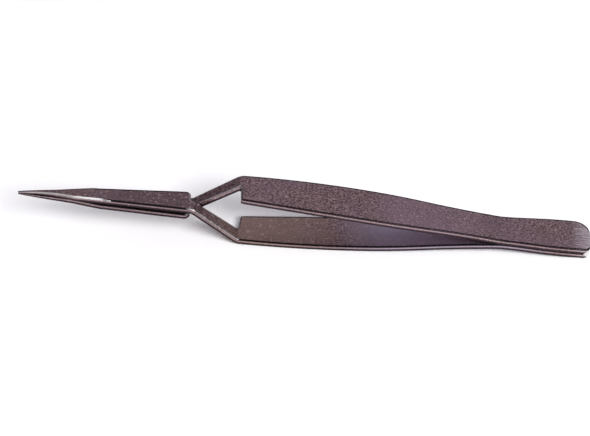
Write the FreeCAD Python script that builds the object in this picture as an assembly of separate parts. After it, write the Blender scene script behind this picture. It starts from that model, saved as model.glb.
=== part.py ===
import FreeCAD, Part
import os
from math import asin, atan, atan2, cos, degrees, hypot, radians, sin, tan

# Reverse action tweezers: two equal strips of spring steel, welded together at the heel.
# Each strip is a handle, then a narrow leg that crosses through the other strip, then a blade,
# so that squeezing the handles parts the tips, and letting go closes them.
#
# Millimetres. Stations are measured from the heel end along the long axis of the tool, and the
# tips point along -X. The strips are first built with the long axis level and the seam of the
# heel at Z = 0, and the finished tool is then laid down as it rests on a table.

# Whole tool
overall_length = 160.0
strip_thickness = 1.8

# Heel: the flat stretch where the two strips lie face to face
heel_length = 25.0
heel_width = 10.4
heel_widest_at = 6.0
heel_far_corner_radius = 4.5
heel_near_corner_radius = 2.0
heel_bend_radius = 24.0

# Handle: rises at spring_angle, then bows over a long arc to front_angle, and is straight in front.
# Its belly lies a share of the way from the waist to the front.
spring_angle = 7.7
front_angle = 2.9
half_bow_length = 23.4
straight_front_length = 1.2
waist_width = 8.9
waist_at = 28.0
belly_width = 10.8
belly_share_of_way = 0.51
handle_length = 98.1
handle_front_width = 8.8
handle_front_skew = 0.35
handle_corner_radius = 0.6

# Legs: each keeps to its own side of the middle, so that the two pass where they cross
leg_length = 14.1
leg_clearance_at_handle = 0.9
leg_clearance_at_blade = 0.3
leg_bend_radius = 2.4
leg_bend_past_handle = 0.5
leg_bend_past_root = 0.08
notch_fillet = 0.7

# Blades: reach of each side from the middle line at the root and at the shoulder
blade_root_gap = 0.86
blade_leg_side = 3.3
blade_free_side = 3.25
blade_corner_radius = 0.9
leg_side_shoulder_from_tip = 16.5
leg_side_shoulder = 1.85
free_side_shoulder_from_tip = 21.0
free_side_shoulder = 2.1

# Points: hollowed on the leg side, drawn in on the free side, and thinned from the outer face
neck_from_tip = 9.5
neck_reach = 0.2
free_side_neck_from_tip = 11.0
free_side_neck_reach = 0.82
free_side_neck_radius = 60.0
tip_width = 0.5
tip_thickness = 0.4
tip_corner_radius = 0.2
tip_contact_length = 8.0
thinned_length = 23.0

# Bevel ground along the outer edge of the leg side, leaning in by so much for each millimetre
bevel_start_from_tip = 26.0
bevel_full_from_tip = 23.5
bevel_width = 0.75
bevel_lean = 1.0

# Weld at the heel end: its depth along the seam, and how far it runs along the outer faces
weld_depth = 2.2
weld_run_outside = 0.6

# Rounding of the stamped edges
edge_radius = 0.3

# How far a cutting shape reaches past what it cuts
spare = 5.0

# Stations that follow from the sizes above
belly_at = waist_at + belly_share_of_way * (handle_length - waist_at)
blade_start = handle_length + leg_length
leg_bend_at = handle_length + leg_bend_past_handle
bow_at = leg_bend_at - straight_front_length - half_bow_length
leg_side_shoulder_at = overall_length - leg_side_shoulder_from_tip
free_side_shoulder_at = overall_length - free_side_shoulder_from_tip


def sketch(*pairs):
    return [FreeCAD.Vector(u, v, 0) for u, v in pairs]


def seen_from_above(point):
    """A sketch point in plan: station along -X, sideways along Y."""
    return FreeCAD.Vector(-point.x, point.y, 0)


def seen_from_side(point):
    """A sketch point in profile: station along -X, height along Z."""
    return FreeCAD.Vector(-point.x, 0, point.y)


def across(point):
    """The same sketch point on the other side of the long axis."""
    return FreeCAD.Vector(point.x, -point.y, 0)


def heading(start, end):
    run = end - start
    run.normalize()
    return run


def lines(points):
    return [("line", start, end) for start, end in zip(points, points[1:])]


def arc_along_axis(level_end, other_end):
    """An arc that is parallel to the long axis at level_end."""
    run = other_end - level_end
    radius = (run.x ** 2 + run.y ** 2) / (2 * abs(run.y))
    half_turn = atan(abs(run.y / run.x))
    forward = 1 if run.x > 0 else -1
    sideways = 1 if run.y > 0 else -1
    step = FreeCAD.Vector(forward * sin(half_turn), sideways * (1 - cos(half_turn)), 0)
    return ("arc", level_end, level_end + step * radius, other_end)


def s_curve(start, end):
    """Two equal arcs that leave and arrive parallel to the long axis."""
    middle = (start + end) * 0.5
    kind, level_end, through, other_end = arc_along_axis(end, middle)
    return [arc_along_axis(start, middle), (kind, other_end, through, level_end)]


def corner_arc(before, corner, after, radius):
    """Start, middle, end and centre of the arc that rounds a corner."""
    back = heading(corner, before)
    ahead = heading(corner, after)
    half_angle = back.getAngle(ahead) / 2
    reach = radius / tan(half_angle)
    to_centre = heading(FreeCAD.Vector(), back + ahead)
    centre = corner + to_centre * (radius / sin(half_angle))
    return corner + back * reach, centre - to_centre * radius, corner + ahead * reach, centre


def rounded_line(corners, radii):
    """Lines through the corners, with an arc of its own radius at each inner corner."""
    pieces = []
    place = corners[0]
    for before, corner, after, radius in zip(corners, corners[1:], corners[2:], radii[1:]):
        if radius == 0:
            pieces.append(("line", place, corner))
            place = corner
            continue
        start, middle, end, centre = corner_arc(before, corner, after, radius)
        pieces.append(("line", place, start))
        pieces.append(("arc", start, middle, end))
        place = end
    pieces.append(("line", place, corners[-1]))
    return pieces


def offset_line(corners, radii, distance):
    """The same rounded line moved to its left, its arcs staying on the same centres."""
    runs = [heading(start, end) for start, end in zip(corners, corners[1:])]
    lefts = [FreeCAD.Vector(-run.y, run.x, 0) for run in runs]
    moved = [corners[0] + lefts[0] * distance]
    new_radii = [0]
    for index in range(1, len(runs)):
        both = lefts[index - 1] + lefts[index]
        moved.append(corners[index] + both * (2 * distance / both.dot(both)))
        turns_left = runs[index - 1].cross(runs[index]).z > 0
        change = -distance if turns_left else distance
        new_radii.append(radii[index] + change if radii[index] else 0)
    moved.append(corners[-1] + lefts[-1] * distance)
    return moved, new_radii + [0]


def closed_face(pieces, place):
    edges = []
    for kind, *points in pieces:
        points = [place(point) for point in points]
        curve = Part.LineSegment(*points) if kind == "line" else Part.Arc(*points)
        edges.append(curve.toShape())
    return Part.Face(Part.Wire(Part.__sortEdges__(edges)))


def upright_prism(pieces, low, high, lean=0.0):
    """A plan outline drawn at Z = 0 and carried up and down, leaning towards +Y as it rises."""
    face = closed_face(pieces, seen_from_above)
    face.translate(FreeCAD.Vector(0, lean * low, low))
    return face.extrude(FreeCAD.Vector(0, lean * (high - low), high - low))


def sideways_prism(pieces, half_width):
    face = closed_face(pieces, seen_from_side)
    face.translate(FreeCAD.Vector(0, -half_width, 0))
    return face.extrude(FreeCAD.Vector(0, 2 * half_width, 0))


def round_uprights(prism, corners):
    """Rounds the upright edges of a prism at the given plan corners, each by its own radius."""
    for corner, radius in corners:
        at = seen_from_above(corner)
        chosen = [
            edge for edge in prism.Edges
            if all(hypot(end.X - at.x, end.Y - at.y) < 1e-4 for end in edge.Vertexes)
        ]
        prism = prism.makeFillet(radius, chosen)
    return prism


def leg_foot(leg_top, root_height):
    """Corner between leg and blade, such that its bend ends just past the root of the blade."""
    bend_centre = FreeCAD.Vector(blade_start + leg_bend_past_root, root_height + leg_bend_radius, 0)
    to_centre = bend_centre - leg_top
    dive = atan2(-to_centre.y, to_centre.x) + asin(leg_bend_radius / to_centre.Length)
    return FreeCAD.Vector(bend_centre.x - leg_bend_radius * tan(dive / 2), root_height, 0)


def mid_line():
    """The upper strip in profile, along the middle of its thickness."""
    half = strip_thickness / 2
    bow_height = half + (bow_at - heel_length) * tan(radians(spring_angle))
    front_height = bow_height + (leg_bend_at - bow_at) * tan(radians(front_angle))
    bow_radius = half_bow_length / tan(radians(spring_angle - front_angle) / 2)
    leg_top, closed, tip = sketch(
        (leg_bend_at, front_height),
        (overall_length - tip_contact_length, -half),
        (overall_length, -half),
    )
    heel = sketch((0, half), (heel_length, half), (bow_at, bow_height))
    corners = heel + [leg_top, leg_foot(leg_top, -half - blade_root_gap / 2), closed, tip]
    radii = [0, heel_bend_radius, bow_radius, leg_bend_radius, leg_bend_radius, 0, 0]
    return corners, radii


def outer_line():
    return offset_line(*mid_line(), strip_thickness / 2)


def under_line():
    return offset_line(*mid_line(), -strip_thickness / 2)


def bent_strip():
    """The upper strip in profile, still a plain band, carried sideways past its widest place."""
    outer = outer_line()
    under = under_line()
    ends = lines([outer[0][0], under[0][0]]) + lines([outer[0][-1], under[0][-1]])
    return sideways_prism(rounded_line(*outer) + rounded_line(*under) + ends, belly_width)


def reach_at(station, root_reach, shoulder_at, shoulder_reach):
    """Reach of a stamped blade side at a station, on the line from its root to its shoulder."""
    slope = (shoulder_reach - root_reach) / (shoulder_at - blade_start)
    return root_reach + slope * (station - blade_start)


def leg_side_at(station):
    return reach_at(station, blade_leg_side, leg_side_shoulder_at, leg_side_shoulder)


def free_side_at(station):
    return reach_at(station, blade_free_side, free_side_shoulder_at, free_side_shoulder)


def stamped_prism(leg_side_corner, free_side_corner):
    """The stamped blank in plan, with the leg and its blade on the far side of the handle.

    The two arguments are the radii of the corners at its heel end.
    """
    past_tip = overall_length + spare
    heel_corner, heel, waist, belly, front = sketch(
        (0, heel_width / 2),
        (heel_widest_at, heel_width / 2),
        (waist_at, waist_width / 2),
        (belly_at, belly_width / 2),
        (handle_length, handle_front_width / 2),
    )
    leg_at_handle, leg_at_blade, free_corner = sketch(
        (handle_length + handle_front_skew, leg_clearance_at_handle / 2),
        (blade_start, leg_clearance_at_blade / 2),
        (blade_start, -blade_free_side),
    )
    past_leg_shoulder = leg_side_shoulder_at + spare
    past_free_shoulder = free_side_shoulder_at + spare
    leg_corner, *far_end = sketch(
        (blade_start, blade_leg_side),
        (past_leg_shoulder, leg_side_at(past_leg_shoulder)),
        (past_tip, leg_side_at(past_leg_shoulder)),
        (past_tip, -free_side_at(past_free_shoulder)),
        (past_free_shoulder, -free_side_at(past_free_shoulder)),
    )
    handle = lines([heel_corner, heel]) + s_curve(heel, waist) + s_curve(waist, belly)
    handle.append(arc_along_axis(belly, front))
    handle += [(kind, *[across(point) for point in points]) for kind, *points in handle]
    heel_end = lines([across(heel_corner), heel_corner])
    legs = lines([front, leg_corner, *far_end, free_corner])
    notch = lines([free_corner, leg_at_blade, leg_at_handle, across(front)])
    tall = 2 * heel_width
    prism = upright_prism(heel_end + handle + legs + notch, -tall, tall)
    return round_uprights(prism, [
        (heel_corner, leg_side_corner),
        (across(heel_corner), free_side_corner),
        (across(front), handle_corner_radius),
        (leg_at_handle, notch_fillet),
        (leg_at_blade, notch_fillet),
        (free_corner, blade_corner_radius),
    ])


def round_stamped_edges(solid):
    """Rounds every edge between a broad face and the cut wall of the strip."""
    def is_wall(face):
        low_u, high_u, low_v, high_v = face.ParameterRange
        normal = face.normalAt((low_u + high_u) / 2, (low_v + high_v) / 2)
        return abs(normal.z) < 1e-3

    rims = []
    for edge in solid.Edges:
        sides = solid.ancestorsOfType(edge, Part.Face)
        if len(sides) == 2 and is_wall(sides[0]) != is_wall(sides[1]):
            rims.append(edge)
    return solid.makeFillet(edge_radius, rims)


def grind_point(solid):
    """Draws both sides of the blade in from its shoulders to the tip."""
    shoulder, neck, tip, free_neck, free_shoulder = sketch(
        (leg_side_shoulder_at, leg_side_shoulder),
        (overall_length - neck_from_tip, neck_reach),
        (overall_length, tip_width / 2),
        (overall_length - free_side_neck_from_tip, -free_side_neck_reach),
        (free_side_shoulder_at, -free_side_shoulder),
    )
    before_free_shoulder = free_shoulder + heading(free_neck, free_shoulder) * spare
    wide = heel_width
    kind, level_end, through, other_end = arc_along_axis(neck, shoulder)
    hollow = [(kind, other_end, through, level_end)]
    free_side = [across(tip), free_neck, before_free_shoulder]
    outline = hollow + rounded_line(free_side, [0, free_side_neck_radius, 0]) + lines([
        neck,
        tip,
        across(tip),
    ]) + lines([
        before_free_shoulder,
        FreeCAD.Vector(before_free_shoulder.x, -wide, 0),
        FreeCAD.Vector(-spare, -wide, 0),
        FreeCAD.Vector(-spare, wide, 0),
        FreeCAD.Vector(shoulder.x, wide, 0),
        shoulder,
    ])
    keep = upright_prism(outline, -2 * wide, 2 * wide)
    keep = round_uprights(keep, [(tip, tip_corner_radius), (across(tip), tip_corner_radius)])
    return solid.common(keep)


def under_height_at(station):
    """Height of the blade's outer face at a station, before it is thinned."""
    corners, radii = under_line()
    root, closed = corners[-3:-1]
    return root.y + (closed.y - root.y) * (station - root.x) / (closed.x - root.x)


def bevel_leg_side(solid):
    """Grinds a bevel along the outer edge of the blade's leg side, up to the hollow."""
    def sideways(station, width):
        return leg_side_at(station) - width - bevel_lean * under_height_at(station)

    bevel_start = overall_length - bevel_start_from_tip
    bevel_full = overall_length - bevel_full_from_tip
    wide = heel_width
    outline = lines(sketch(
        (bevel_start, sideways(bevel_start, 0)),
        (bevel_full, sideways(bevel_full, bevel_width)),
        (overall_length, sideways(overall_length, bevel_width)),
        (overall_length, wide),
        (bevel_start, wide),
        (bevel_start, sideways(bevel_start, 0)),
    ))
    return solid.cut(upright_prism(outline, -spare, 0, bevel_lean))


def thin_point(solid):
    """Thins the blade from its outer face, along an arc down to the thickness of the tip."""
    start_at = overall_length - thinned_length
    start = FreeCAD.Vector(start_at, under_height_at(start_at), 0)
    tip = FreeCAD.Vector(overall_length, -tip_thickness, 0)
    below = start.y - spare
    cutter = [arc_along_axis(start, tip)] + lines([
        tip,
        FreeCAD.Vector(tip.x + spare, tip.y, 0),
        FreeCAD.Vector(tip.x + spare, below, 0),
        FreeCAD.Vector(start.x, below, 0),
        start,
    ])
    return solid.cut(sideways_prism(cutter, heel_width))


def weld_groove():
    """The V-shaped groove across the heel end that the weld fills."""
    slope = strip_thickness / (weld_depth - weld_run_outside)
    rise = slope * (weld_depth + spare)
    root, above, below = sketch((weld_depth, 0), (-spare, rise), (-spare, -rise))
    return sideways_prism(lines([root, above, below, root]), heel_width)


def make_weld(blank):
    """The weld, flush with the heel of both strips and rounded like their edges."""
    both_strips = Part.makeBox(heel_widest_at, heel_width, 2 * strip_thickness)
    both_strips.translate(FreeCAD.Vector(-heel_widest_at, -heel_width / 2, -strip_thickness))
    return round_stamped_edges(both_strips.common(blank).Solids[0]).common(weld_groove())


def rest_tilt():
    """Angle by which the long axis rises when the lower handle lies on a table."""
    corners, radii = outer_line()
    bow_centre = corner_arc(*corners[1:4], radii[2])[-1]
    heel_edge_centre = FreeCAD.Vector(edge_radius, strip_thickness - edge_radius, 0)
    between = bow_centre - heel_edge_centre
    return atan2(between.y, between.x) + asin((radii[2] - edge_radius) / between.Length)


def make_arm(blank):
    """One strip, bent, rounded, ground to its point and grooved for the weld."""
    strip = round_stamped_edges(bent_strip().common(blank).Solids[0])
    ground = bevel_leg_side(grind_point(thin_point(strip)))
    return ground.cut(weld_groove())


def make_parts():
    """Both arms and the weld, with the heel's two corners rounded alike on every piece."""
    blank = stamped_prism(heel_far_corner_radius, heel_near_corner_radius)
    upper_arm = make_arm(blank)
    lower_arm = make_arm(stamped_prism(heel_near_corner_radius, heel_far_corner_radius))
    lower_arm.rotate(FreeCAD.Vector(), FreeCAD.Vector(1, 0, 0), 180)
    heel_weld = make_weld(blank)
    return {"upper_arm": upper_arm, "lower_arm": lower_arm, "heel_weld": heel_weld}


def lay_down(parts):
    """Tips the tool onto its lower handle, with the origin under the middle of its box."""
    for shape in parts.values():
        shape.rotate(FreeCAD.Vector(), FreeCAD.Vector(0, 1, 0), degrees(rest_tilt()))
    box = Part.makeCompound(list(parts.values())).optimalBoundingBox(False)
    for shape in parts.values():
        shape.translate(FreeCAD.Vector(-box.Center.x, -box.Center.y, -box.ZMin))


parts = make_parts()
lay_down(parts)
os.makedirs("parts", exist_ok=True)
for name, shape in parts.items():
    solid = shape.Solids[0]
    solid.exportStep(f"parts/{name}.step")
    print(name, "solids", len(shape.Solids), "valid", solid.isValid(), "volume", round(solid.Volume, 1))
print("rest tilt in degrees", round(degrees(rest_tilt()), 2))
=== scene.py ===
# %% [markdown]
# # Cross-locking tweezers, from strip steel to picture
#
# These tweezers are two equal strips of spring steel, welded together at the heel. Each strip is
# a long bowed handle, then a narrow leg that passes through the other strip, then a blade that
# ends in a fine point. The strips are their own spring: squeezing the handles parts the points.
#
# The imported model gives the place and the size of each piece. It could be shown as it is, but all
# its rims are alike. So this script builds each strip again as a mesh with stamped rims and
# ground faces, gives it a worn steel finish, and photographs it.

from collections import namedtuple
from math import atan, atan2, cos, pi, radians, sin, sqrt, tan

import bmesh
import bpy
from mathutils import Matrix, Vector


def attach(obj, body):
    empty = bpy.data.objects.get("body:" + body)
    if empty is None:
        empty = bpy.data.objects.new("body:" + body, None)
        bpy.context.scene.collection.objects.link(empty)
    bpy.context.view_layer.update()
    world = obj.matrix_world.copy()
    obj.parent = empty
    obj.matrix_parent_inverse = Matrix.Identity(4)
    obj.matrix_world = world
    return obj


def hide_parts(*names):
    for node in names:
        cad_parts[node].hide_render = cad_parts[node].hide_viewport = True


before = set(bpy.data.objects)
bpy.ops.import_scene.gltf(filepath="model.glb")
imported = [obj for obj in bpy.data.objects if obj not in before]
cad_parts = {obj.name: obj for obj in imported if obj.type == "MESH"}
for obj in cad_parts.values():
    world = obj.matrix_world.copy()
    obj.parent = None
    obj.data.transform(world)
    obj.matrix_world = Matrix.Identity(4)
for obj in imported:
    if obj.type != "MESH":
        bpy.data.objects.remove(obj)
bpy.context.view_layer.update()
print("nodes in the frame:", sorted(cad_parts))

# %% [markdown]
# ## The sizes of the tool
#
# The sizes are in millimetres, because that is how a toolmaker would write them, and turn into
# metres only when a piece is finished. A station is a distance from the heel end along the tool.
# Each strip is drawn with the long axis level, which keeps the numbers simple, and the whole tool
# is laid down on its lower handle at the very end.

# %% Sizes of the tool
MM = 0.001
tool_length = 160.0
strip_thickness = 1.8
half_thickness = strip_thickness / 2
handle_end = 98.1
blade_start = 112.2
print("mm from handle to blade, where the legs cross:", round(blade_start - handle_end, 1))

# %% [markdown]
# ## Lines, arcs and corners
#
# A stamping is drawn with straight lines and arcs. Blender's curves could hold them, but lists
# of points are easier to offset and to join: an outline is then one list after the other. The
# helpers give a straight run, an arc that leaves parallel to the long axis, two such arcs that
# make an S, and a rounded corner.

# %% Helpers for straight runs and arcs
def clamped(value):
    """The value, kept between 0 and 1."""
    return min(1.0, max(0.0, value))


def line_points(start, end, spacing=0.5):
    """Evenly spaced points from start up to, but not including, end."""
    steps = max(1, round((end - start).length / spacing))
    return [start.lerp(end, i / steps) for i in range(steps)]


def level_arc(start, end, steps):
    """Points on the arc that is parallel to the long axis at start and goes through end."""
    run = end - start
    radius = (run.x ** 2 + run.y ** 2) / (2 * abs(run.y))
    turn = 2 * atan(abs(run.y / run.x))
    forward = 1 if run.x > 0 else -1
    sideways = 1 if run.y > 0 else -1
    return [
        start + Vector((forward * radius * sin(a), sideways * radius * (1 - cos(a))))
        for a in (turn * i / steps for i in range(steps))
    ]


def s_curve(start, end, steps):
    """Two equal arcs that leave and arrive parallel to the long axis."""
    middle = (start + end) / 2
    second = level_arc(end, middle, steps)
    return level_arc(start, middle, steps) + [middle] + second[:0:-1]


print("points on 10 mm of line:", len(line_points(Vector((0, 0)), Vector((10, 0)))))


# %% Helpers for rounded corners
def corner_arc(before, corner, after, radius):
    """Start, end and centre of the arc that rounds a corner."""
    back = (before - corner).normalized()
    ahead = (after - corner).normalized()
    half_angle = back.angle(ahead) / 2
    reach = radius / tan(half_angle)
    centre = corner + (back + ahead).normalized() * (radius / sin(half_angle))
    return corner + back * reach, corner + ahead * reach, centre


def round_corner(before, corner, after, radius, steps=6):
    """Points on the arc that rounds a corner, both ends included."""
    start, end, centre = corner_arc(before, corner, after, radius)
    first, last = start - centre, end - centre
    turn = atan2(first.x * last.y - first.y * last.x, first.dot(last))
    return [centre + Matrix.Rotation(turn * i / steps, 2) @ first for i in range(steps + 1)]


square_corner = round_corner(Vector((1, 0)), Vector((0, 0)), Vector((0, 1)), 0.2)
print("points on a rounded corner:", len(square_corner))

# %% [markdown]
# ## The handle of the blank
#
# Seen from above, the handle has a slim waist near the heel and a fuller belly under the fingers.
# A subdivided curve could guess at that shape, but arcs that leave and arrive parallel to the
# long axis follow the stamping from only four places. The leg is on the positive side, and the
# other side is called the free side.

# %% Places on the handle
heel_width = 10.4
waist_width = 8.9
belly_width = 10.8
front_width = 8.8

heel_corner = Vector((0.0, heel_width / 2))
heel = Vector((6.0, heel_width / 2))
waist = Vector((28.0, waist_width / 2))
belly = Vector((63.75, belly_width / 2))
front = Vector((handle_end, front_width / 2))


def free(point):
    """The same place on the free side."""
    return Vector((point.x, -point.y))


def heel_and_handle(leg_corner_radius, free_corner_radius):
    """From the front of the handle back on the free side, round the heel, and forward again."""
    points = [free(front)] + level_arc(free(belly), free(front), steps=30)[:0:-1]
    points += s_curve(free(belly), free(waist), steps=20)
    points += s_curve(free(waist), free(heel), steps=14)
    points += line_points(free(heel), Vector((free_corner_radius, -heel_width / 2)))
    points += round_corner(free(heel), free(heel_corner), heel_corner, free_corner_radius, 14)
    points += round_corner(free(heel_corner), heel_corner, heel, leg_corner_radius, 14)
    points += line_points(Vector((leg_corner_radius, heel_width / 2)), heel)[1:]
    points += s_curve(heel, waist, steps=14)
    points += s_curve(waist, belly, steps=20)
    return points + level_arc(belly, front, steps=30)


print("mm wide at heel, waist, belly, front:", heel_width, waist_width, belly_width, front_width)

# %% [markdown]
# ## The leg's side of the blade
#
# The blade tapers straight from its root. Near the point it isn't stamped but ground: hollow on
# the leg's side, so that the point is slender. The hollow could be a boolean cut with a grinding
# wheel, but a square law gives the same line, and the same function later places the bevel.

# %% Leg's side of the blade
blade_corner_on_leg_side = Vector((blade_start, 3.3))
blade_taper = 0.0528
hollow_start = 144.4
hollow_end = 156.5
point_reach = 0.3
tip = Vector((tool_length, 0.25))
tip_corner_radius = 0.2


def leg_side_reach(station):
    """How far the blade reaches on the leg's side: a straight taper, then hollow to the tip."""
    tapered = min(station, hollow_start) - blade_start
    straight = blade_corner_on_leg_side.y - blade_taper * tapered
    to_go = clamped((hollow_end - station) / (hollow_end - hollow_start))
    return point_reach + (straight - point_reach) * to_go ** 2


def leg_side_to_tip():
    """Along the leg and the blade, through the hollow, and round the tip's first corner."""
    shoulder = Vector((hollow_start, leg_side_reach(hollow_start)))
    neck = Vector((hollow_end, point_reach))
    points = line_points(front, blade_corner_on_leg_side, spacing=1.0)
    points += line_points(blade_corner_on_leg_side, shoulder, spacing=1.0)
    points += [shoulder] + level_arc(neck, shoulder, steps=24)[:0:-1]
    points += line_points(neck, tip, spacing=1.0)
    return points + round_corner(neck, tip, free(tip), tip_corner_radius, 4)


print("mm reach where the hollow starts:", round(leg_side_reach(hollow_start), 2))

# %% [markdown]
# ## The free side of the blade, and the notch beside the leg
#
# On the free side the blade is drawn in from a shoulder to a neck in one gentle curve. Behind the
# blade a notch leaves room for the other strip's leg. It could be cut out of a full-width blank,
# but walking on along the outline costs only a few rounded corners. Each arm gets its own
# shoulder and neck, because the two blades were ground by hand and differ a little.

# %% Free side of the blade
blade_corner = Vector((blade_start, -3.25))
blade_corner_radius = 1.6
leg_at_blade = Vector((blade_start, 0.15))
leg_at_handle = Vector((handle_end + 0.35, 0.45))
notch_radius = 0.7
neck_radius = 45.0


def free_side_to_handle(shoulder, neck):
    """Round the tip's second corner, back along the free side, and round the notch."""
    points = round_corner(tip, free(tip), neck, tip_corner_radius, 4)
    neck_arc = round_corner(free(tip), neck, shoulder, neck_radius, 12)
    points += line_points(points[-1], neck_arc[0], spacing=1.0)[1:] + neck_arc
    points += line_points(neck_arc[-1], shoulder, spacing=0.6)[1:]
    points += line_points(shoulder, blade_corner, spacing=1.0)[:-2]
    points += round_corner(shoulder, blade_corner, leg_at_blade, blade_corner_radius, 10)
    points += round_corner(blade_corner, leg_at_blade, leg_at_handle, notch_radius)
    points += line_points(points[-1], leg_at_handle, spacing=1.0)[1:-1]
    return points + round_corner(leg_at_blade, leg_at_handle, free(front), notch_radius)


print("mm wide at the root of the blade:", round(blade_corner_on_leg_side.y - blade_corner.y, 2))

# %% [markdown]
# ## The two blanks
#
# The heel has a large corner on the far side and a small one on the near side, on both strips.
# One strip is turned over, so its blank has the two radii the other way round. A mirrored copy
# would put both legs on the same side, so each blank is drawn by the same function instead.

# %% Outlines of the blanks
far_corner_radius = 4.5
near_corner_radius = 2.0
front_corner_radius = 0.6


def blank_outline(leg_corner_radius, free_corner_radius, free_shoulder, free_neck):
    """Points once round the blank, as (station, side), with the leg on the positive side."""
    points = heel_and_handle(leg_corner_radius, free_corner_radius)
    points += leg_side_to_tip()
    points += free_side_to_handle(free_shoulder, free_neck)
    points += round_corner(leg_at_handle, points[0], points[1], front_corner_radius)
    return points[1:]


upper_blank = blank_outline(
    far_corner_radius,
    near_corner_radius,
    free_shoulder=Vector((137.0, -2.15)),
    free_neck=Vector((145.5, -0.9)),
)
lower_blank = blank_outline(
    near_corner_radius,
    far_corner_radius,
    free_shoulder=Vector((139.0, -2.1)),
    free_neck=Vector((149.0, -0.82)),
)
print("points round the blanks:", len(upper_blank), len(lower_blank))

# %% [markdown]
# ## The bend of a strip
#
# Seen from the side, each strip lies flat along the heel, rises, bows over a long arc, dives down
# its leg and runs level again to the tip. An armature or a curve modifier could bend it, but a
# press bends a strip at exact stations with exact radii. So the middle of the strip is kept as
# corners, each with the radius of its bend, and its two surfaces are that line moved up and down.

# %% Middle of a strip, from the side
spring_angle = radians(7.7)
front_angle = radians(2.9)
heel_bend_at = 25.0
heel_bend_radius = 24.0
bow_at = 74.0
half_bow = 23.4
leg_bend_at = 98.6
leg_bend_radius = 2.4
leg_foot_at = blade_start - 0.75
blade_root_gap = 0.86
blades_meet_at = 152.0

bow_height = half_thickness + (bow_at - heel_bend_at) * tan(spring_angle)
front_height = bow_height + (leg_bend_at - bow_at) * tan(front_angle)
bow_radius = half_bow / tan((spring_angle - front_angle) / 2)
mid_corners = [
    (Vector((0.0, half_thickness)), 0.0),
    (Vector((heel_bend_at, half_thickness)), heel_bend_radius),
    (Vector((bow_at, bow_height)), bow_radius),
    (Vector((leg_bend_at, front_height)), leg_bend_radius),
    (Vector((leg_foot_at, -half_thickness - blade_root_gap / 2)), leg_bend_radius),
    (Vector((blades_meet_at, -half_thickness)), 0.0),
    (Vector((tool_length, -half_thickness)), 0.0),
]


def offset_profile(distance):
    """Corners and radii of the line at a distance above the middle of the strip."""
    places = [corner for corner, radius in mid_corners]
    runs = [(b - a).normalized() for a, b in zip(places, places[1:])]
    lefts = [Vector((-run.y, run.x)) for run in runs]
    moved = [(places[0] + lefts[0] * distance, 0.0)]
    for i in range(1, len(runs)):
        both = lefts[i - 1] + lefts[i]
        turns_left = runs[i - 1].x * runs[i].y - runs[i - 1].y * runs[i].x > 0
        radius = mid_corners[i][1]
        if radius:
            radius += -distance if turns_left else distance
        moved.append((places[i] + both * (2 * distance / both.dot(both)), radius))
    moved.append((places[-1] + lefts[-1] * distance, 0.0))
    return moved


print("radius of the bow, mm:", round(bow_radius))

# %% [markdown]
# ## The height at any station
#
# A flat blank is bent by asking how high each of its points has to be. A lookup in a finely
# divided line would answer that roughly. Keeping each straight run and each arc as it is gives
# the exact height, and costs one search through a short list.


# %% Heights of the two surfaces
def profile_pieces(corners):
    """The line as (last station, start, end, centre, signed radius), with no centre if straight."""
    pieces = []
    start = corners[0][0]
    for (before, _), (corner, radius), (after, _) in zip(corners, corners[1:], corners[2:]):
        if not radius:
            pieces.append((corner.x, start, corner, None, 0.0))
            start = corner
            continue
        first, last, centre = corner_arc(before, corner, after, radius)
        pieces.append((first.x, start, first, None, 0.0))
        above = 1 if corner.y > centre.y else -1
        pieces.append((last.x, first, last, centre, above * radius))
        start = last
    pieces.append((float("inf"), start, corners[-1][0], None, 0.0))
    return pieces


def height_function(corners):
    """A function that gives the height of a rounded line at any station."""
    pieces = profile_pieces(corners)

    def height(station):
        for end, a, b, centre, radius in pieces:
            if station <= end:
                break
        if centre is None:
            return a.y + (b.y - a.y) * (station - a.x) / (b.x - a.x)
        rise = sqrt(max(0.0, radius ** 2 - (station - centre.x) ** 2))
        return centre.y + (rise if radius > 0 else -rise)

    return height


upper_surface = height_function(offset_profile(half_thickness))
under_surface = height_function(offset_profile(-half_thickness))
print("top of the handle at its front, mm:", round(upper_surface(handle_end), 2))

# %% [markdown]
# ## Rims: rolled, torn, dressed and ground
#
# A punch rolls the metal over where it enters and tears it where it leaves, so one rim of a
# stamped strip is rounder than the other. The dressed heel is rounder still, and grinding left
# crisp rims at the point. A bevel modifier would round them all alike, so the radius is a
# function of the place. So is the width of a band beside each rim, which the finish needs later.

# %% Radius of the rims
rolled_rim = 0.22
torn_rim = 0.1
dressed_rim = 0.32
dressed_length = 3.0
ground_outer_rim = 0.05
ground_inner_rim = 0.14
free_side_ground_from = 139.0
rim_change_length = 1.6


def rim_radius(point, face, torn_side):
    """Radius of the rim at a point of the outline, on the face above (1) or below (-1)."""
    stamped_rim = torn_rim if face == torn_side else rolled_rim
    dressed = clamped(2.0 - point.x / dressed_length)
    stamped_rim += (dressed_rim - stamped_rim) * dressed
    ground_rim = ground_inner_rim if face > 0 else ground_outer_rim
    ground_from = hollow_start if point.y > 0 else free_side_ground_from
    ground = clamped((point.x - ground_from + rim_change_length / 2) / rim_change_length)
    return stamped_rim + (ground_rim - stamped_rim) * ground


edge_band = 0.22
edge_band_at_tip = 0.08
band_narrows_from = 146.0
band_narrows_over = 10.0


def band_width(point):
    """Width of the band on a broad face along its rim, less by the fine point."""
    share = clamped((point.x - band_narrows_from) / band_narrows_over)
    return edge_band + (edge_band_at_tip - edge_band) * share


print("rims, mm: rolled", rolled_rim, "torn", torn_rim, "dressed", dressed_rim)

# %% [markdown]
# ## From outline to solid strip
#
# The strip is drawn as rings, one above the other: the outline is moved inwards and upwards along
# a quarter circle for each rim, and neighbouring rings are joined by four-sided faces. Extruding
# the outline and bevelling it would be quicker, but rings let every rim have its own radius. The
# two broad faces close the stack.

# %% Directions and levels of the rings
rim_steps = 4
bevel_floor = -0.6
wall_middle = 0.1


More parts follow.
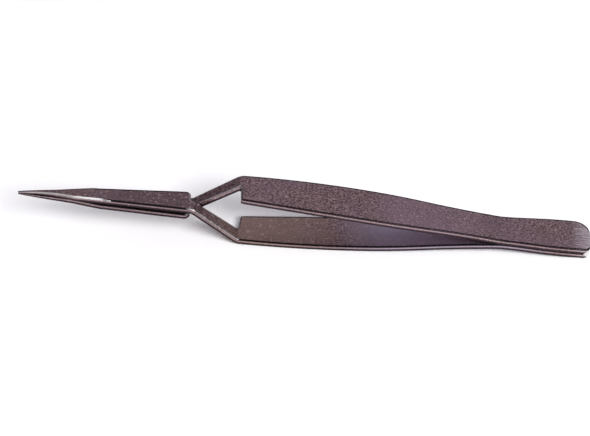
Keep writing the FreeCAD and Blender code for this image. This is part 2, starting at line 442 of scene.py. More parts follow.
def inward_normals(points):
    """At each point of the outline, the direction into the strip, longer at sharp corners."""
    area = sum(a.x * b.y - b.x * a.y for a, b in zip(points, points[1:] + points[:1]))
    turn = 1 if area > 0 else -1
    normals = []
    for before, here, after in zip(points[-1:] + points[:-1], points, points[1:] + points[:1]):
        first = (here - before).normalized()
        second = (after - here).normalized()
        both = (Vector((-first.y, first.x)) + Vector((-second.y, second.x))) * turn
        normals.append(both * (2 / both.dot(both)))
    return normals


def ring_levels():
    """From below up: share of the rim inwards, share of it off the face, and face or level."""
    quarter = [pi / 2 * i / rim_steps for i in range(rim_steps + 1)]
    levels = [("band", 0.0, -1)]
    levels += [(1 - cos(a), 1 - sin(a), -1) for a in reversed(quarter)]
    levels += [(0.0, None, bevel_floor), (0.0, None, wall_middle)]
    levels += [(1 - cos(a), 1 - sin(a), 1) for a in quarter]
    return levels + [("band", 0.0, 1)]


print("rings in a strip:", len(ring_levels()))


# %% Rings round the strip
def make_ring(strip, points, normals, ring_level, torn_side, half_height):
    """One ring of points: x is the station, y the side, and z runs from -1 below to 1 above."""
    inwards, off_face, face = ring_level
    ring = []
    for point, normal in zip(points, normals):
        radius = rim_radius(point, 0 if off_face is None else face, torn_side)
        inset = radius + band_width(point) if inwards == "band" else radius * inwards
        place = point + normal * inset
        level = face if off_face is None else face * (1 - off_face * radius / half_height)
        ring.append(strip.verts.new((place.x, place.y, level)))
    return ring


wall_mark = 1.0
rim_mark = 0.5


def flat_strip(points, torn_side, half_height=half_thickness):
    """The strip before bending, its walls, rims and bands marked, its broad faces not."""
    strip = bmesh.new()
    zone = strip.faces.layers.float.new("zone")
    normals = inward_normals(points)
    rings = [
        make_ring(strip, points, normals, ring_level, torn_side, half_height)
        for ring_level in ring_levels()
    ]
    wall_rows = range(rim_steps + 1, len(rings) - rim_steps - 2)
    for row, (low, high) in enumerate(zip(rings, rings[1:])):
        for i in range(len(low)):
            j = (i + 1) % len(low)
            face = strip.faces.new((low[i], low[j], high[j], high[i]))
            face[zone] = wall_mark if row in wall_rows else rim_mark
    strip.faces.new(rings[0])
    strip.faces.new(rings[-1])
    bmesh.ops.recalc_face_normals(strip, faces=strip.faces)
    return strip


print("faces of a flat strip:", (len(ring_levels()) - 1) * len(upper_blank) + 2)

# %% [markdown]
# ## Slices along the strip
#
# A flat face can't bend, so the strip is sliced across at many stations: every millimetre and a
# half along the gentle curves, and much closer at the tight bends and where the bevel starts.
# Subdividing everything as finely as the bends need would give many times as many faces.

# %% Slices along the strip
slice_spacing = 1.5
bevel_from = 134.0
bevel_slice_spacing = 0.8
last_slice_before_tip = 0.4
tight_bends = [(heel_bend_at, 2.2, 0.3), (leg_bend_at, 2.0, 0.12), (leg_foot_at, 2.0, 0.12)]


def slice_stations():
    """Stations at which the strip is sliced."""
    stations = [i * slice_spacing for i in range(1, 1 + int(tool_length / slice_spacing))]
    for middle, reach, spacing in tight_bends:
        stations = [s for s in stations if abs(s - middle) > reach]
        count = round(2 * reach / spacing)
        stations += [middle - reach + i * spacing for i in range(count + 1)]
    stations += [bevel_from + i * bevel_slice_spacing for i in range(4)]
    return sorted(s for s in stations if s < tool_length - last_slice_before_tip)


def slice_strip(strip):
    for station in slice_stations():
        bmesh.ops.bisect_plane(
            strip,
            geom=strip.verts[:] + strip.edges[:] + strip.faces[:],
            plane_co=(station, 0, 0),
            plane_no=(1, 0, 0),
            dist=0.01,
        )


print("slices along a strip:", len(slice_stations()))

# %% [markdown]
# ## Grinding
#
# The point is made by grinding: the outer face is thinned along an arc towards the tip, and a
# bevel runs along the edge on the leg's side. A boolean could cut both, and would leave long
# slivers. Grinding only takes metal away, so it is enough to move the points that stand outside
# the ground surface onto it.

# %% Ground surfaces
thinning_start = 137.0
tip_thickness = 0.4
thin_start = Vector((thinning_start, under_surface(thinning_start)))
thin_run = Vector((tool_length - thin_start.x, -tip_thickness - thin_start.y))
thin_radius = thin_run.length_squared / (2 * thin_run.y)


def lower_surface(station):
    """The under side of the strip, thinned along an arc towards the tip."""
    if station <= thin_start.x:
        return under_surface(station)
    rise = thin_radius - sqrt(thin_radius ** 2 - (station - thin_start.x) ** 2)
    return max(under_surface(station), thin_start.y + rise)


bevel_full_at = 136.5
bevel_width = 0.45
bevel_narrows_from = 143.0
bevel_width_at_tip = 0.1


def bevel_limit(station, level):
    """How far the leg's side may reach at a level, once its outer edge is bevelled."""
    share = clamped((station - bevel_from) / (bevel_full_at - bevel_from))
    narrowing = max(0.0, (station - bevel_narrows_from) / (tool_length - bevel_narrows_from))
    width = bevel_width * share + (bevel_width_at_tip - bevel_width) * narrowing
    below_wall = max(0.0, (bevel_floor - level) / (bevel_floor + 1))
    return leg_side_reach(station) - width * below_wall


print("radius of the thinned face, mm:", round(thin_radius))

# %% [markdown]
# ## Bending, and marks for the finish
#
# Bending gives every point the height of its station. The finish has to know where on the flat
# blank a point was and which faces were ground. Texture coordinates or vertex groups could carry
# that, but named attributes on the mesh are plain numbers that a shader reads by name.

# %% Bend a strip
merge_distance = 0.002
outward_slope = 0.3


def bend(station, level):
    """Height of a point of the strip, for a level from -1 below to 1 above."""
    low = lower_surface(station)
    high = upper_surface(station)
    return low + (high - low) * (level + 1) / 2


def mark_ground_faces(strip, place):
    """Marks the faces of the bevel: on the leg's side, below the wall, facing outwards."""
    ground = strip.faces.layers.float.new("ground")
    strip.normal_update()
    for face in strip.faces:
        middle = face.calc_center_median()
        level = sum(v[place].z for v in face.verts) / len(face.verts) / half_thickness
        faces_outwards = face.normal.y > outward_slope and middle.y > 0
        is_ground = middle.x > bevel_from and faces_outwards and level < bevel_floor
        face[ground] = 1.0 if is_ground else 0.0


def bent_strip(blank, torn_side, lean):
    """A whole arm in the tool's own frame, its blade leaning sideways by so much per mm."""
    strip = flat_strip(blank, torn_side)
    slice_strip(strip)
    place = strip.verts.layers.float_vector.new("strip_place")
    for vert in strip.verts:
        station, side, level = vert.co
        vert[place] = (station, side, level * half_thickness)
        if station > bevel_from and side > 0:
            side = min(side, bevel_limit(station, level))
        vert.co = (station, side, bend(station, level))
    mark_ground_faces(strip, place)
    for vert in strip.verts:
        vert.co.y += lean * max(0.0, vert.co.x - blade_start)
    bmesh.ops.remove_doubles(strip, verts=strip.verts, dist=merge_distance)
    return strip


print("mm thick at the tip:", round(upper_surface(tool_length) - lower_surface(tool_length), 2))

# %% [markdown]
# ## The groove for the weld
#
# The two strips are joined by a weld that fills a V-shaped groove across the heel end and is
# ground flush with it. Boolean modifiers could cut the groove and the weld. Both only need flat
# cuts, though, and a sliced mesh stays closed when the cut is filled with a new face.

# %% Flat cuts
weld_depth = 2.2
weld_run_outside = 0.6
groove_slope = strip_thickness / (weld_depth - weld_run_outside)
groove_root = (weld_depth, 0, 0)


def cut_off(solid, through, normal):
    """Takes away the part of a closed mesh on the side of the normal, and fills the cut."""
    cut = bmesh.ops.bisect_plane(
        solid,
        geom=solid.verts[:] + solid.edges[:] + solid.faces[:],
        plane_co=through,
        plane_no=normal,
        dist=0.0001,
        clear_outer=True,
    )
    edges = [e for e in cut["geom_cut"] if isinstance(e, bmesh.types.BMEdge) and e.is_boundary]
    bmesh.ops.holes_fill(solid, edges=edges, sides=0)


print("slope of the groove's sides:", round(groove_slope, 3))

# %% [markdown]
# ## Laying the tool down
#
# The tool rests on its lower handle and its heel, which tilts its long axis by a few degrees. The
# object's own rotation could do that, but here each object stays at the origin, so the points
# themselves are turned, moved and changed to metres.

# %% Lay down and hand over
rest_tilt = radians(4.776765)
tool_shift = Vector((79.675815, 0.0, 1.769808))
crease_angle = radians(32)


def tool_to_world(solid, half_turn):
    """Turns the lower arm over, lays the tool on the table and changes to metres."""
    if half_turn:
        bmesh.ops.rotate(solid, verts=solid.verts, matrix=Matrix.Rotation(pi, 3, "X"))
    for vert in solid.verts:
        station, side, height = vert.co
        vert.co = (
            (-station * cos(rest_tilt) + height * sin(rest_tilt) + tool_shift.x) * MM,
            side * MM,
            (station * sin(rest_tilt) + height * cos(rest_tilt) + tool_shift.z) * MM,
        )
    bmesh.ops.reverse_faces(solid, faces=solid.faces)


def add_object(name, data):
    """An object in the scene, made of a mesh, a lamp or a camera."""
    added = bpy.data.objects.new(name, data)
    bpy.context.scene.collection.objects.link(added)
    return added


def finish_piece(solid, name, half_turn, stands_for):
    """Makes the object, smooths its rounded rims and hands it to the frame."""
    tool_to_world(solid, half_turn)
    mesh = bpy.data.meshes.new(name)
    solid.to_mesh(mesh)
    solid.free()
    mesh.shade_smooth()
    mesh.set_sharp_from_angle(angle=crease_angle)
    piece = add_object(name, mesh)
    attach(piece, "root")
    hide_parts(stands_for)
    weighted = piece.modifiers.new("even_shading", "WEIGHTED_NORMAL")
    weighted.keep_sharp = True
    print(name, "has", len(mesh.polygons), "faces")
    return piece


# %% [markdown]
# ## The two arms and the weld
#
# Both strips lie with their torn rims down, and both blades lean a hair to the near side, as
# hand-set points do. On the arm that is turned over, both are the other way round. The weld could
# be a bead, but it was ground flush, so it is a block with the heel's outline, cut along the same
# two planes as the groove.

# %% Arms and weld
blade_lean = 0.0145
weld_block_end = 5.9


def make_arm(name, blank, half_turn):
    """One arm, its torn rims facing down, without the metal of the groove."""
    turn = 1 if half_turn else -1
    arm = bent_strip(blank, turn, turn * blade_lean)
    cut_off(arm, groove_root, (-groove_slope, 0, -1))
    return finish_piece(arm, name + "_strip", half_turn, name)


def make_weld():
    """The wedge of weld metal, as high as both strips together."""
    heel_end = [point for point in upper_blank if point.x < weld_block_end]
    block = flat_strip(heel_end, torn_side=0, half_height=strip_thickness)
    place = block.verts.layers.float_vector.new("strip_place")
    for vert in block.verts:
        station, side, level = vert.co
        vert.co = (station, side, level * strip_thickness)
        vert[place] = vert.co
    cut_off(block, groove_root, (groove_slope, 0, 1))
    cut_off(block, groove_root, (groove_slope, 0, -1))
    return finish_piece(block, "heel_weld_wedge", False, "heel_weld")


upper_arm = make_arm("upper_arm", upper_blank, half_turn=False)
lower_arm = make_arm("lower_arm", lower_blank, half_turn=True)
weld = make_weld()

# %% [markdown]
# ## Shared effects for the finish
#
# The steel has no paint, so all that shows is how the metal was worked and worn. Each effect could
# be wired anew in every material. It is a node group with named sockets instead, built once and
# placed with other values. The groups all read "strip_place", the place on the flat blank in
# millimetres, so the grain follows the bends and both arms are worked alike.

# %% Helpers for nodes and groups
FLOAT = "NodeSocketFloat"
VECTOR = "NodeSocketVector"


def new_group(name, inputs, outputs):
    """A node group with float and vector sockets, and its input and output nodes."""
    tree = bpy.data.node_groups.new(name, "ShaderNodeTree")
    for socket, kind, value in inputs:
        made = tree.interface.new_socket(socket, in_out="INPUT", socket_type=kind)
        if value is not None:
            made.default_value = value
    for socket, kind in outputs:
        tree.interface.new_socket(socket, in_out="OUTPUT", socket_type=kind)
    print("node group:", name)
    return tree, tree.nodes.new("NodeGroupInput"), tree.nodes.new("NodeGroupOutput")


def add_node(tree, kind, inputs=None, **settings):
    """A node with its settings, and its sockets set to a value or linked to another socket."""
    node = tree.nodes.new(kind)
    for key, value in settings.items():
        setattr(node, key, value)
    for key, value in (inputs or {}).items():
        if isinstance(value, bpy.types.NodeSocket):
            tree.links.new(value, node.inputs[key])
        else:
            node.inputs[key].default_value = value
    return node


def combined(tree, operation, first, second):
    """Result of a sum, product or the like of two sockets or numbers."""
    return add_node(tree, "ShaderNodeMath", {0: first, 1: second}, operation=operation).outputs[0]


def soft_step(tree, value, low, high):
    """A smooth rise from 0 to 1 as value goes from low to high."""
    sockets = {"Value": value, "From Min": low, "From Max": high}
    node = add_node(tree, "ShaderNodeMapRange", sockets, interpolation_type="SMOOTHSTEP")
    return node.outputs["Result"]


def placed(tree, group, place, **values):
    """First output of a group that is placed in a tree with its own values."""
    node = add_node(tree, "ShaderNodeGroup", {"Place": place, **values}, node_tree=group)
    return node.outputs[0]


# %% [markdown]
# ## Noise that is longer one way than the other
#
# Tumbling leaves round specks, brushing leaves long lines, and both are noise at another scale.
# Blender's noise texture is the same in all directions, so the place is stretched before it goes
# in: its length and width are then simply the size of a mark in millimetres. Low and high say how
# sharply a mark stands out.

# %% Group: worked metal noise
noise_tree, given, result = new_group(
    "worked metal noise",
    [
        ("Place", VECTOR, None),
        ("Length", FLOAT, 1.0),
        ("Width", FLOAT, 1.0),
        ("Detail", FLOAT, 2.0),
        ("Low", FLOAT, 0.35),
        ("High", FLOAT, 0.65),
    ],
    [("Value", FLOAT)],
)
along = combined(noise_tree, "DIVIDE", 1.0, given.outputs["Length"])
across = combined(noise_tree, "DIVIDE", 1.0, given.outputs["Width"])
scale = add_node(noise_tree, "ShaderNodeCombineXYZ", {"X": along, "Y": across, "Z": across})
stretched = add_node(
    noise_tree,
    "ShaderNodeVectorMath",
    {0: given.outputs["Place"], 1: scale.outputs[0]},
    operation="MULTIPLY",
)
noise = add_node(
    noise_tree,
    "ShaderNodeTexNoise",
    {"Vector": stretched.outputs[0], "Scale": 1.0, "Detail": given.outputs["Detail"]},
)
marks = soft_step(noise_tree, noise.outputs[0], given.outputs["Low"], given.outputs["High"])
noise_tree.links.new(marks, result.inputs["Value"])
print("nodes in it:", len(noise_tree.nodes))

# %% [markdown]
# ## The end that is dressed with the weld
#
# When the weld was ground flush, the grinder also brightened the steel beside it, and its strokes
# run out unevenly. A plain gradient along the station would end in a straight line, so noise
# shifts the station before the gradient reads it.

# %% Group: dressed end
stroke_length = 1.6
stroke_width = 0.5
stroke_shift = 0.9

dressed_tree, given, result = new_group(
    "dressed end",
    [("Place", VECTOR, None), ("Reach", FLOAT, 3.0), ("Softness", FLOAT, 1.5)],
    [("Mask", FLOAT)],
)
station = add_node(dressed_tree, "ShaderNodeSeparateXYZ", {0: given.outputs["Place"]}).outputs["X"]
strokes = placed(
    dressed_tree, noise_tree, given.outputs["Place"], Length=stroke_length, Width=stroke_width
)
uneven = add_node(
    dressed_tree,
    "ShaderNodeMath",
    {0: strokes, 1: stroke_shift, 2: station},
    operation="MULTIPLY_ADD",
)
fades_at = combined(dressed_tree, "ADD", given.outputs["Reach"], given.outputs["Softness"])
mask = soft_step(dressed_tree, uneven.outputs[0], fades_at, given.outputs["Reach"])
dressed_tree.links.new(mask, result.inputs["Mask"])
print("nodes in it:", len(dressed_tree.nodes))

# %% [markdown]
# ## A stretch along the strip
#
# Some stretches of the steel are warmer, cooler or darker than the rest. Some of that is tarnish
# from handling, and some is painted sheen and painted reflection in shade.
# They could be painted on as vertex colours. A mask between two stations with soft ends needs no
# paint, and it can be moved by changing two numbers.

# %% Group: stretch of strip
stretch_tree, given, result = new_group(
    "stretch of strip",
    [
        ("Place", VECTOR, None),
        ("From", FLOAT, 0.0),
        ("To", FLOAT, 10.0),
        ("Softness", FLOAT, 2.0),
    ],
    [("Mask", FLOAT)],
)
station = add_node(stretch_tree, "ShaderNodeSeparateXYZ", {0: given.outputs["Place"]}).outputs["X"]


def soft_end(end, operation):
    """Rise from 0 to 1 at one end of the stretch, over the softness outside it."""
    fades_at = combined(stretch_tree, operation, given.outputs[end], given.outputs["Softness"])
    return soft_step(stretch_tree, station, fades_at, given.outputs[end])


between = combined(
    stretch_tree, "MULTIPLY", soft_end("From", "SUBTRACT"), soft_end("To", "ADD")
)
stretch_tree.links.new(between, result.inputs["Mask"])
print("nodes in it:", len(stretch_tree.nodes))

# %% [markdown]
# ## From masks to a material
#
# A finish on metal is built up in layers, each laid over the last through a mask, as a plater
# would do it. The nodes could be laid out one by one for each layer, but every layer is the same
# two nodes, a product and a mix, so one helper adds both.


# %% Helpers for materials
def new_material(name):
    """A material, its node tree and its shader."""
    material = bpy.data.materials.new(name)
    material.use_nodes = True
    print("material:", name)
    return material, material.node_tree, material.node_tree.nodes["Principled BSDF"]


def attribute(tree, name, output):
    """An attribute of the mesh, as a socket."""
    return add_node(tree, "ShaderNodeAttribute", attribute_name=name).outputs[output]


def mixed(tree, factor, first, second):
    """Colour between first and second, each a colour or a socket."""
    node = add_node(tree, "ShaderNodeMix", data_type="RGBA")
    for index, value in ((0, factor), (6, first), (7, second)):
        if isinstance(value, bpy.types.NodeSocket):
            tree.links.new(value, node.inputs[index])
        else:
            node.inputs[index].default_value = (*value, 1.0)
    return node.outputs[2]


def blend_in(tree, colour, mask, weight, tone):
    """The colour with a tone mixed in, by the mask times its weight."""
    return mixed(tree, combined(tree, "MULTIPLY", mask, weight), colour, tone)


def brighter(tone, times):
    return tuple(times * part for part in tone)


def feed(tree, shader, sockets):
    """Links each value to the shader's socket of that name."""
    for name, value in sockets.items():
        tree.links.new(value, shader.inputs[name])


def ranged(tree, value, low, high):
    """A number from low to high, as the value goes from 0 to 1."""
    sockets = {"Value": value, "To Min": low, "To Max": high}
    return add_node(tree, "ShaderNodeMapRange", sockets).outputs["Result"]


def bumped(tree, height, distance, strength):
    """Normal of a surface with a fine relief, its distance in mm."""
    sockets = {"Height": height, "Distance": distance * MM, "Strength": strength}
    return add_node(tree, "ShaderNodeBump", sockets).outputs[0]


# %% [markdown]
# ## Spring steel: the broad faces
#
# The broad faces are a warm grey satin, tumbled until they are finely speckled. A photograph of
# steel would repeat along the strip. Instead the colour moves between a dark and a light tone
# with the speckle, and over it come brown stains, a violet bloom from heat, toned stretches,
# bright specks and thin lines of grain.

# %% Colour of the broad faces
Patch = namedtuple("Patch", "start end softness weight tone")
Steel = namedtuple("Steel", "dark light stain stain_low torn_side patches")

speckle_marks = dict(Length=0.6, Width=0.48, Detail=3.0, Low=0.42, High=0.58)
grain_marks = dict(Length=9.0, Width=0.22, Detail=2.0, Low=0.35, High=0.65)
speck_marks = dict(Length=0.85, Width=0.7, Detail=2.0, Low=0.60, High=0.68)
stain_marks = dict(Length=9.0, Width=4.0, Detail=3.0, High=0.75)
bloom_marks = dict(Length=16.0, Width=7.0, Detail=1.0, Low=0.4, High=0.7)
stain_weight = 0.5
bloom_weight = 0.4
bloom_tone = (0.27, 0.19, 0.25)
speck_weight = 0.55
speck_brightness = 1.9
grain_weight = 0.2
grain_brightness = 1.35


def face_colour(tree, place, speckle, grain, steel):
    """Colour of the broad faces, before wear."""
    stains = placed(tree, noise_tree, place, Low=steel.stain_low, **stain_marks)
    bloom = placed(tree, noise_tree, place, **bloom_marks)
    specks = placed(tree, noise_tree, place, **speck_marks)
    colour = mixed(tree, speckle, steel.dark, steel.light)
    colour = blend_in(tree, colour, stains, stain_weight, steel.stain)
    colour = blend_in(tree, colour, bloom, bloom_weight, bloom_tone)
    for patch in steel.patches:
        ends = dict(From=patch.start, To=patch.end, Softness=patch.softness)
        stretch = placed(tree, stretch_tree, place, **ends)
        colour = blend_in(tree, colour, stretch, patch.weight, patch.tone)
    bright = brighter(steel.light, speck_brightness)
    colour = blend_in(tree, colour, specks, speck_weight, bright)
    return blend_in(tree, colour, grain, grain_weight, brighter(steel.light, grain_brightness))


print("sizes of the speckle, mm:", speckle_marks["Length"], speckle_marks["Width"])

# %% [markdown]
# ## Spring steel: rims and walls
#
# The rims are painted nearly black, a painted shade for the dark that they reflect, except on the
# legs, where they are painted bright, a painted highlight for the light that they catch. On the
# walls a pale sheared stripe lies between the torn half, painted nearly black as painted shade,
# and the painted shadow of the rolled rim. An edge mask from the geometry's angle would treat all
# rims alike, so the masks come from the marks "zone" and "strip_place" on the mesh.

# %% Colour of rims and walls
# Painted shade: the rims are darkened nearly to black, standing in for the dark that they reflect.
painted_rim_shade_weight = 0.96
painted_rim_shade = (0.008, 0.006, 0.007)
# Painted highlight: along the legs the rims are painted bright, standing in for the light that they
# catch.
leg_highlight_stretch = dict(From=99.0, To=112.0, Softness=1.5)
painted_leg_rim_highlight_weight = 0.8
painted_leg_rim_highlight = (0.62, 0.56, 0.57)
torn_half_shade_from, torn_half_shade_full_at = -0.12, 0.2
rolled_from, rolled_full_at = 0.42, 0.6
wall_weight = 0.3
wall_tone = (0.46, 0.35, 0.36)
# Painted shade: the torn half of each wall, which lies underneath, and a band by the rolled rim are
# darkened nearly to black.
painted_wall_shade_weight = 0.9
painted_wall_shade = (0.02, 0.015, 0.018)


def rim_painted_light(tree, place, colour, rounded):
    """Paints shade on the rims and the bands beside them, and a painted highlight along the legs.
    """
    legs = placed(tree, stretch_tree, place, **leg_highlight_stretch)
    leg_highlight_mask = combined(tree, "MULTIPLY", rounded, legs)
    colour = blend_in(tree, colour, rounded, painted_rim_shade_weight, painted_rim_shade)
    return blend_in(tree, colour, leg_highlight_mask, painted_leg_rim_highlight_weight, painted_leg_rim_highlight)


def wall_colour_and_painted_shade(tree, place, colour, on_wall, torn_side):
    """Walls: a pale sheared stripe, with painted shade on the torn half and by the rolled rim."""
    level = add_node(tree, "ShaderNodeSeparateXYZ", {0: place}).outputs["Z"]
    to_torn_side = combined(tree, "MULTIPLY", level, torn_side)
    to_rolled_side = combined(tree, "MULTIPLY", level, -torn_side)
    torn = soft_step(tree, to_torn_side, torn_half_shade_from, torn_half_shade_full_at)
    rolled = soft_step(tree, to_rolled_side, rolled_from, rolled_full_at)
    painted_wall_shade_mask = combined(tree, "MULTIPLY", on_wall, combined(tree, "MAXIMUM", torn, rolled))
    colour = blend_in(tree, colour, on_wall, wall_weight, wall_tone)
    return blend_in(tree, colour, painted_wall_shade_mask, painted_wall_shade_weight, painted_wall_shade)


# The dark on the rims is painted shade.
print("share of the dark film on the rims:", painted_rim_shade_weight)

# %% [markdown]
# ## Spring steel: gloss and relief
#
# Satin steel has middling roughness. One value all over would look like plastic film, so it
# follows the speckle, and is a little lower on the rims. The speckle and the grain also stand
# about a hundredth of a millimetre proud. Real displacement of that size would need millions of
# faces, so it is bump, which almost vanishes on the rims, whose highlights are clean lines.

# %% Gloss and relief
smoothest = 0.32
roughest = 0.46
rim_polish = 0.06
ground_roughness = 0.42
grain_relief = 0.5
relief_lost_on_rims = 0.85
relief_height = 0.012
relief_strength = 0.8


def steel_roughness(tree, speckle, on_edge, ground):
    satin = ranged(tree, speckle, smoothest, roughest)
    polish = combined(tree, "MULTIPLY", on_edge, rim_polish)
    honed = combined(tree, "MULTIPLY", ground, ground_roughness)
    return combined(tree, "MAXIMUM", combined(tree, "SUBTRACT", satin, polish), honed)


def steel_relief(tree, speckle, grain, on_edge):
    height = combined(tree, "ADD", speckle, combined(tree, "MULTIPLY", grain, grain_relief))
    lost = combined(tree, "MULTIPLY", on_edge, relief_lost_on_rims)
    height = combined(tree, "MULTIPLY", height, combined(tree, "SUBTRACT", 1.0, lost))
    return bumped(tree, height, relief_height, relief_strength)


print("roughness from", smoothest, "to", roughest)

# %% [markdown]
# ## Spring steel, put together
#
# The layers go on in the order in which the tool was made: the tumbled faces, the brush marks of
# the dressed heel, the painted shade and highlights of the rims and walls, and last the bevel at
# the point, ground bright. The tint of the reflection at a grazing angle is the same all over, so
# it is set on the shader itself.

# %% Spring steel
dressed_end = dict(Reach=1.2, Softness=5.4)
brushed_dark = (0.36, 0.29, 0.32)
brushed_light = (0.88, 0.78, 0.81)
ground_dark = (0.80, 0.78, 0.76)
ground_light = (0.95, 0.94, 0.92)
grazing_tint = (0.3, 0.3, 0.3, 1.0)


def spring_steel(name, steel):
    """Worked steel, with the tones, the stains and the torn side of one arm."""
    material, tree, shader = new_material(name)
    place = attribute(tree, "strip_place", "Vector")
    ground = attribute(tree, "ground", "Fac")
    zone = attribute(tree, "zone", "Fac")
    on_edge = soft_step(tree, zone, rim_mark - 0.3, rim_mark - 0.2)
    on_wall = soft_step(tree, zone, wall_mark - 0.4, wall_mark - 0.2)
    rounded = combined(tree, "SUBTRACT", on_edge, on_wall)
    speckle = placed(tree, noise_tree, place, **speckle_marks)
    grain = placed(tree, noise_tree, place, **grain_marks)
    dressed = placed(tree, dressed_tree, place, **dressed_end)

    colour = face_colour(tree, place, speckle, grain, steel)
    colour = mixed(tree, dressed, colour, mixed(tree, grain, brushed_dark, brushed_light))
    colour = rim_painted_light(tree, place, colour, rounded)
    colour = wall_colour_and_painted_shade(tree, place, colour, on_wall, steel.torn_side)
    colour = mixed(tree, ground, colour, mixed(tree, grain, ground_dark, ground_light))
    feed(tree, shader, {
        "Base Color": colour,
        "Roughness": steel_roughness(tree, speckle, on_edge, ground),
        "Normal": steel_relief(tree, speckle, grain, on_edge),
    })
    shader.inputs["Metallic"].default_value = 1.0
    shader.inputs["Specular Tint"].default_value = grazing_tint
    return material


# %% [markdown]
# ## The steel of each arm
#
# The two arms come from the same strip but were handled differently: the lower one has a brown
# front. On top of that comes painted light: the upper one has a rose-coloured stretch behind the
# middle, a painted sheen, and the lower one a blue-tinted stretch by the heel, a painted reflection
# in the shade under the upper arm. Both are darker at the blades. Two sets of values in one
# function show that better than two materials wired by hand.

# %% Steel of each arm
dark_steel = (0.115, 0.076, 0.080)
blade_shade = (0.10, 0.07, 0.08)
blade = Patch(start=116.0, end=170.0, softness=6.0, weight=0.3, tone=blade_shade)
blade_root = Patch(start=114.0, end=128.0, softness=12.0, weight=0.5, tone=blade_shade)
# Painted sheen: a lighter rose-coloured stretch on the upper arm.
painted_rose_sheen = Patch(start=36.0, end=54.0, softness=10.0, weight=0.45, tone=(0.40, 0.285, 0.35))
brown = Patch(start=84.0, end=98.0, softness=12.0, weight=0.5, tone=(0.36, 0.255, 0.18))
# Painted reflection: a lighter blue-tinted stretch on the lower arm, in the shade under the upper
# arm.
painted_blue_reflection = Patch(start=26.0, end=54.0, softness=20.0, weight=0.8, tone=(0.42, 0.38, 0.52))

upper_steel = Steel(
    dark=dark_steel,
    light=(0.365, 0.256, 0.266),
    stain=(0.24, 0.155, 0.15),
    stain_low=0.5,
    torn_side=-1.0,
    patches=[blade, blade_root, painted_rose_sheen],
)
lower_steel = Steel(
    dark=dark_steel,
    light=(0.375, 0.262, 0.268),
    stain=(0.33, 0.21, 0.17),
    stain_low=0.42,
    torn_side=1.0,
    patches=[blade, blade_root, brown, painted_blue_reflection],
)
upper_arm.data.materials.append(spring_steel("upper_spring_steel", upper_steel))
lower_arm.data.materials.append(spring_steel("lower_spring_steel", lower_steel))

# %% [markdown]
# ## Ground weld metal
#
# The weld is brighter than the strips, because it was ground last and never tumbled. It could
# borrow the steel's finish with lighter tones, but it has no rims or walls of its own, so a short
# material with brush lines and a few dull pits is enough.

# %% Ground weld metal
weld_brush_marks = dict(Length=3.0, Width=0.16, Detail=3.0, Low=0.3, High=0.7)
weld_pit_marks = dict(Length=0.6, Width=0.5, Detail=2.0, Low=0.55, High=0.7)
weld_dark = (0.58, 0.55, 0.54)
weld_light = (0.86, 0.84, 0.83)
pit_weight = 0.5
pit_tone = (0.34, 0.28, 0.26)
weld_smoothest = 0.26
weld_roughest = 0.42
weld_relief_height = 0.015
weld_relief_strength = 0.7

weld_metal, tree, shader = new_material("ground_weld_metal")
place = attribute(tree, "strip_place", "Vector")
brushed = placed(tree, noise_tree, place, **weld_brush_marks)
pits = placed(tree, noise_tree, place, **weld_pit_marks)
colour = mixed(tree, brushed, weld_dark, weld_light)
feed(tree, shader, {
    "Base Color": blend_in(tree, colour, pits, pit_weight, pit_tone),
    "Roughness": ranged(tree, brushed, weld_smoothest, weld_roughest),
    "Normal": bumped(tree, brushed, weld_relief_height, weld_relief_strength),
})
shader.inputs["Metallic"].default_value = 1.0
weld.data.materials.append(weld_metal)

# %% [markdown]
# ## Camera
#
# The camera was worked out from the outline of the tool in the photograph. It stands a little
# under half a metre from the middle of the tool, looks down at 50 degrees, and is turned by not
# quite three degrees from square on. Turning it further could centre the tool in the picture, but
# that would change the perspective, so a small shift of the lens does it.

# %% Camera
camera_data = bpy.data.cameras.new("camera")
camera_data.sensor_width = 36.0
camera_data.lens = 98.85
camera_data.shift_x = -0.01785
camera_data.shift_y = -0.00403
camera_data.clip_start = 0.01
camera = add_object("camera", camera_data)
camera.location = (0.016507, -0.290199, 0.354411)
camera.rotation_euler = (radians(40.0334), radians(0.374), radians(2.8195))
bpy.context.scene.camera = camera
print("metres from camera to origin:", round(camera.location.length, 3))

# %% [markdown]
# ## Floor
#
# The tool lies on white paper that shows no edge. A brighter lamp could bleach the paper, and
# would bleach the steel too. So the paper is nearly white by its own colour, and adds a very
# faint glow that only the camera and reflections see, which leaves the shadow on it.

# %% Floor
floor_reach = 3.0
paper_white = (0.95, 0.95, 0.95, 1.0)
paper_roughness = 0.9
floor_glow = 0.03
glow_tint = (1.0, 0.98, 1.0, 1.0)

corners = [(-1, -1), (1, -1), (1, 1), (-1, 1)]
floor_mesh = bpy.data.meshes.new("floor")
floor_mesh.from_pydata(
    [(x * floor_reach, y * floor_reach, 0.0) for x, y in corners], [], [(0, 1, 2, 3)]
)
floor = add_object("floor", floor_mesh)

paper, tree, shader = new_material("white_paper")
shader.inputs["Base Color"].default_value = paper_white
shader.inputs["Roughness"].default_value = paper_roughness
shader.inputs["Specular IOR Level"].default_value = 0.0
shader.inputs["Emission Color"].default_value = glow_tint
rays = add_node(tree, "ShaderNodeLightPath")
seen = combined(tree, "MAXIMUM", rays.outputs["Is Camera Ray"], rays.outputs["Is Glossy Ray"])
feed(tree, shader, {"Emission Strength": combined(tree, "MULTIPLY", seen, floor_glow)})
floor_mesh.materials.append(paper)

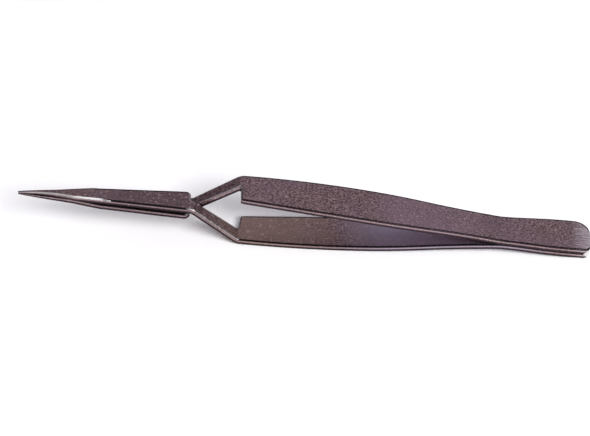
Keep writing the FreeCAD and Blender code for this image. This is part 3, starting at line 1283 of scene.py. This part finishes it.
# %% [markdown]
# ## Sky
#
# Satin steel shows its surroundings, so the room matters more than the lamp. A photograph of a
# studio could light it, but a few tones do as well: the sky is bright above and falls off towards
# the horizon. It is darkest low down in front, where the camera stands, and that draws the dark
# line along each rim.

# %% Sky
horizon_tone = (0.04, 0.035, 0.055, 1.0)
slope_tone = (0.45, 0.43, 0.47, 1.0)
zenith_tone = (0.78, 0.75, 0.82, 1.0)
slope_height = 0.75
front_tone = (0.03, 0.03, 0.03)
front_weight = 0.85
front_starts, front_full = 0.15, -0.35
low_starts, low_full = 0.92, 0.72

world = bpy.data.worlds.new("studio")
world.use_nodes = True
bpy.context.scene.world = world
sky = world.node_tree
direction = add_node(sky, "ShaderNodeTexCoord").outputs["Generated"]
axes = add_node(sky, "ShaderNodeSeparateXYZ", {0: direction})
ramp = add_node(sky, "ShaderNodeValToRGB", {"Fac": axes.outputs["Z"]})
ramp.color_ramp.elements[0].color = horizon_tone
ramp.color_ramp.elements[1].color = zenith_tone
ramp.color_ramp.elements.new(slope_height).color = slope_tone
toward_front = soft_step(sky, axes.outputs["Y"], front_starts, front_full)
low_down = soft_step(sky, axes.outputs["Z"], low_starts, low_full)
in_front = combined(sky, "MULTIPLY", toward_front, low_down)
background = sky.nodes["Background"]
feed(sky, background, {
    "Color": blend_in(sky, ramp.outputs["Color"], in_front, front_weight, front_tone),
})
background.inputs["Strength"].default_value = 1.0
print("tones in the sky:", len(ramp.color_ramp.elements) + 1)

# %% [markdown]
# ## Lamp
#
# One large soft lamp stands high up in front, on the heel's side. It lights the pale walls and
# throws the shadow back and towards the points, so that most of it hides behind the tool. A sun
# lamp would be simpler, but its shadow has a hard edge, and the real one is soft.

# %% Lamp
lamp_data = bpy.data.lights.new("softbox", "AREA")
lamp_data.shape = "SQUARE"
lamp_data.size = 0.9
lamp_data.energy = 39.5
lamp = add_object("softbox", lamp_data)
lamp.location = (0.92, -0.893, 1.374)
lamp.rotation_euler = (-lamp.location).to_track_quat("-Z", "Y").to_euler()

bpy.context.scene.view_settings.view_transform = "Standard"
print("metres from lamp to origin:", round(lamp.location.length, 2))
